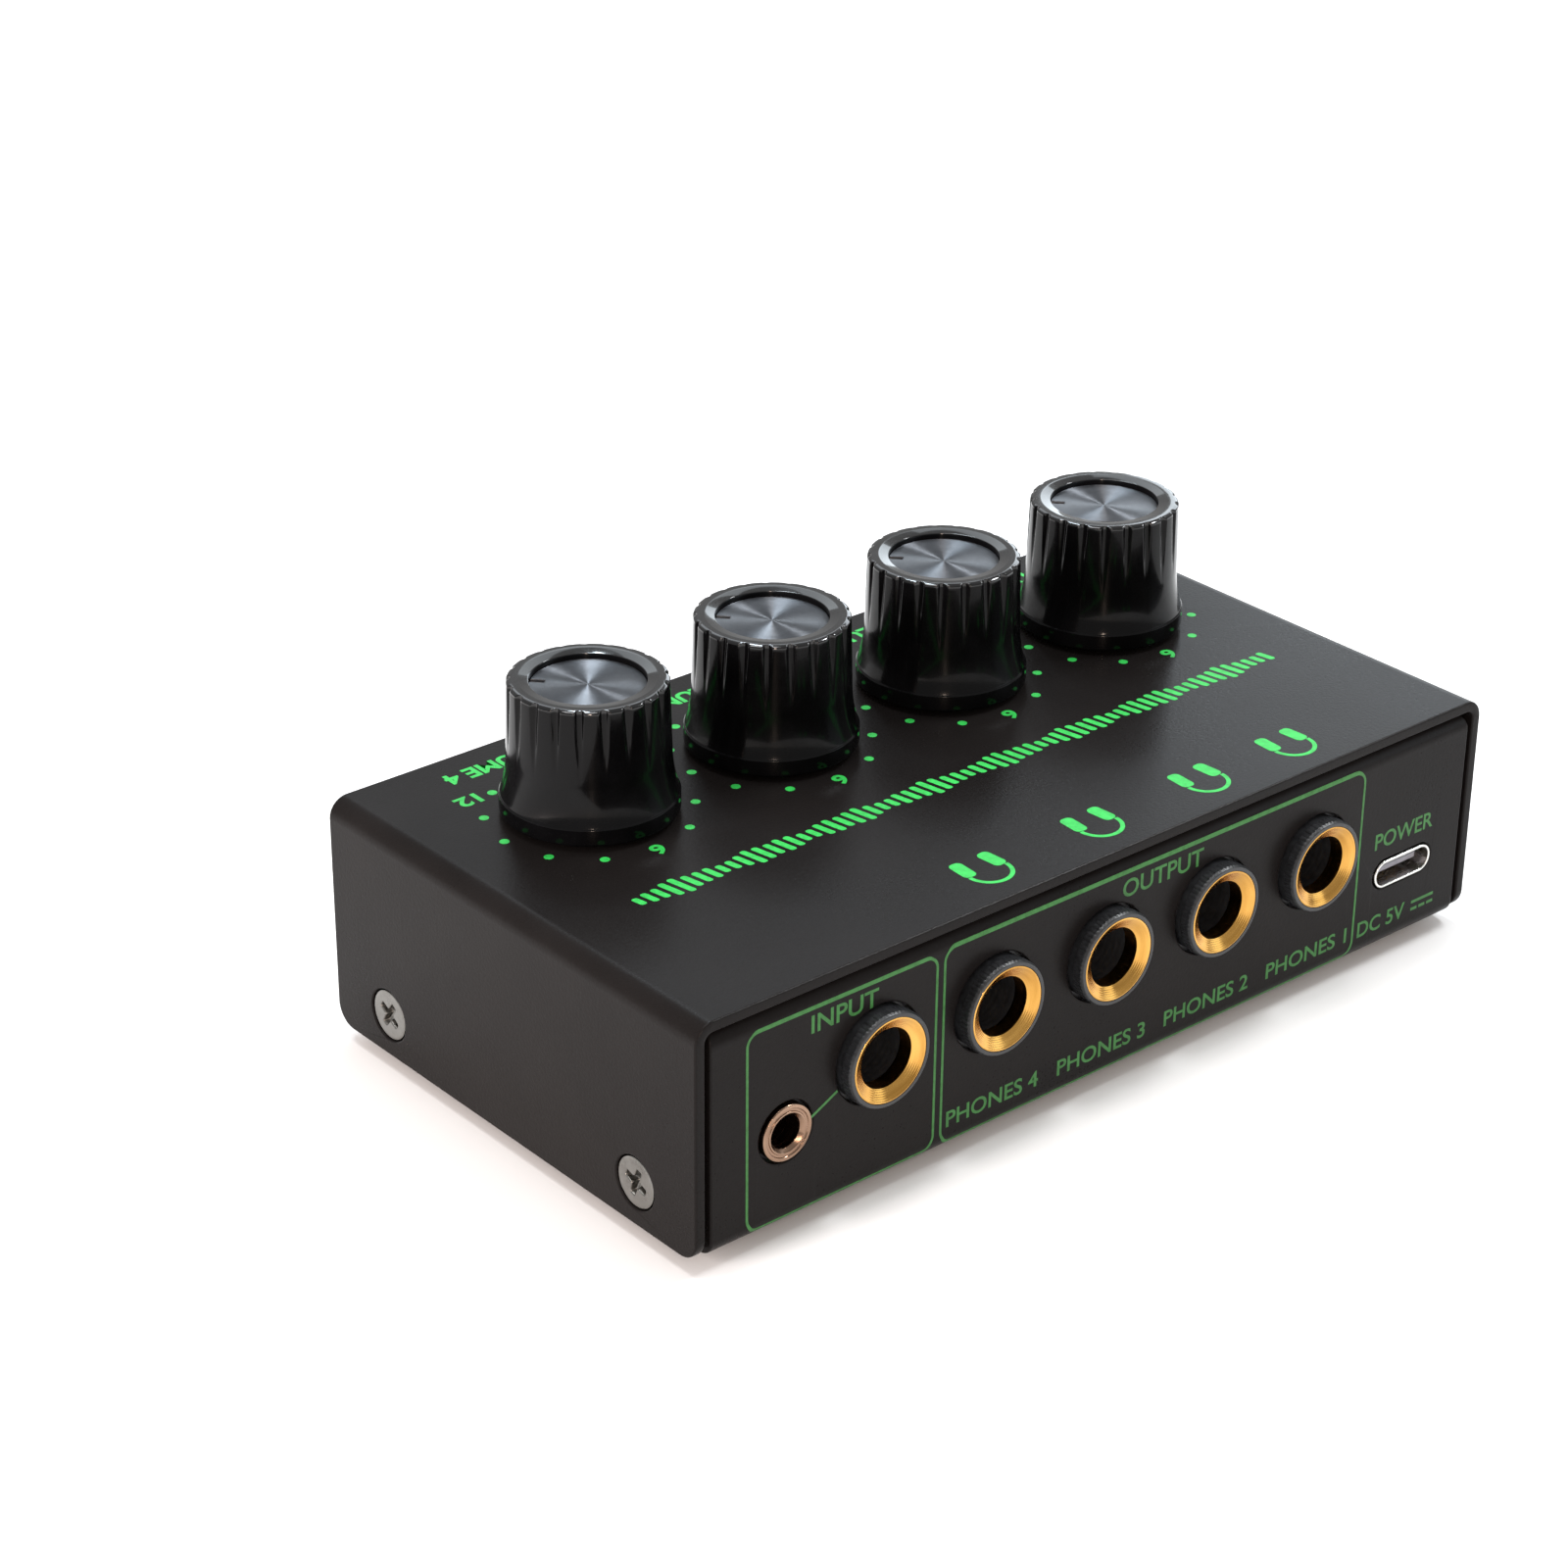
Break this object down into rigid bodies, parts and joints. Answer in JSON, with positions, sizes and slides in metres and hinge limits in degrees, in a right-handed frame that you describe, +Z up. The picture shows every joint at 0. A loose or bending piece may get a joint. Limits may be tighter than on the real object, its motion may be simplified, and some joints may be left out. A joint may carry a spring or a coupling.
{
  "type": "headphone amplifier",
  "caption": "Desktop headphone amplifier in a black folded steel case, with rotary volume controls on top and a row of headphone jacks, an input and a power socket on one side.",
  "frame": {"origin": "on the table under the middle of the whole object, jack noses included", "axes": "+Z up, the jack panel faces -Y, +X to the right when looking at the jack panel"},
  "size_m": [0.11, 0.0612, 0.0427],
  "materials": {
    "black_powder_coat": "satin, fine grained powder coat",
    "nickel_screw": "nickel plated, satin",
    "rubber": "matte",
    "knob_plastic": "polished black",
    "spun_disc": "dark anodised, spun radial sheen",
    "shaft_steel": "machined",
    "plated_steel": "zinc plated",
    "phenolic": "pressed board",
    "contact_metal": "tin plated",
    "circuit_board": "solder mask",
    "black_nylon": "moulded, fine texture",
    "gold_pins": "gold plated",
    "brass": "turned",
    "gold_ring": "polished, gold plated",
    "copper_nickel": "polished",
    "usb_steel": "drawn, satin",
    "chip_epoxy": "moulded epoxy",
    "capacitor_can": "drawn can",
    "ferrite": "pressed ferrite"
  },
  "bodies": {
    "amplifier": {"top_cover": "black_powder_coat", "chassis_tray": "black_powder_coat", "case_screws": "nickel_screw", "rubber_feet": "rubber", "pot_can_1": "plated_steel", "pot_can_2": "plated_steel", "pot_can_3": "plated_steel", "pot_can_4": "plated_steel", "pot_base_1": "phenolic", "pot_base_2": "phenolic", "pot_base_3": "phenolic", "pot_base_4": "phenolic", "pot_nuts": "plated_steel", "pot_washers": "plated_steel", "pot_terminals": "contact_metal", "pot_board": "circuit_board", "board_header": "black_nylon", "header_pins": "gold_pins", "main_board": "circuit_board", "standoffs": "brass", "board_screws": "nickel_screw", "input_jack_housing": "black_nylon", "phones_jack_housing_1": "black_nylon", "phones_jack_housing_2": "black_nylon", "phones_jack_housing_3": "black_nylon", "phones_jack_housing_4": "black_nylon", "input_jack_ring": "gold_ring", "phones_jack_ring_1": "gold_ring", "phones_jack_ring_2": "gold_ring", "phones_jack_ring_3": "gold_ring", "phones_jack_ring_4": "gold_ring", "input_jack_contacts": "contact_metal", "phones_jack_contacts_1": "contact_metal", "phones_jack_contacts_2": "contact_metal", "phones_jack_contacts_3": "contact_metal", "phones_jack_contacts_4": "contact_metal", "mini_jack_housing": "black_nylon", "mini_jack_ring": "copper_nickel", "mini_jack_contacts": "contact_metal", "usb_c_shell": "usb_steel", "usb_c_tongue": "black_nylon", "usb_c_contacts": "gold_pins", "amplifier_chips": "chip_epoxy", "output_capacitors": "capacitor_can", "power_inductor": "ferrite"},
    "volume_1": {"knob_1": "knob_plastic", "knob_cap_1": "spun_disc", "pot_shaft_1": "shaft_steel"},
    "volume_2": {"knob_2": "knob_plastic", "knob_cap_2": "spun_disc", "pot_shaft_2": "shaft_steel"},
    "volume_3": {"knob_3": "knob_plastic", "knob_cap_3": "spun_disc", "pot_shaft_3": "shaft_steel"},
    "volume_4": {"knob_4": "knob_plastic", "knob_cap_4": "spun_disc", "pot_shaft_4": "shaft_steel"}
  },
  "joints": [
    {"name": "volume_1_turn", "type": "hinge", "parent": "amplifier", "child": "volume_1", "pos_m": [0.03673, 0.01175, 0.0277], "axis": [0, 0, -1], "range_deg": [-288, 12]},
    {"name": "volume_2_turn", "type": "hinge", "parent": "amplifier", "child": "volume_2", "pos_m": [0.01257, 0.01175, 0.0277], "axis": [0, 0, -1], "range_deg": [-288, 12]},
    {"name": "volume_3_turn", "type": "hinge", "parent": "amplifier", "child": "volume_3", "pos_m": [-0.01158, 0.01175, 0.0277], "axis": [0, 0, -1], "range_deg": [-288, 12]},
    {"name": "volume_4_turn", "type": "hinge", "parent": "amplifier", "child": "volume_4", "pos_m": [-0.03572, 0.01175, 0.0277], "axis": [0, 0, -1], "range_deg": [-288, 12]}
  ]
}
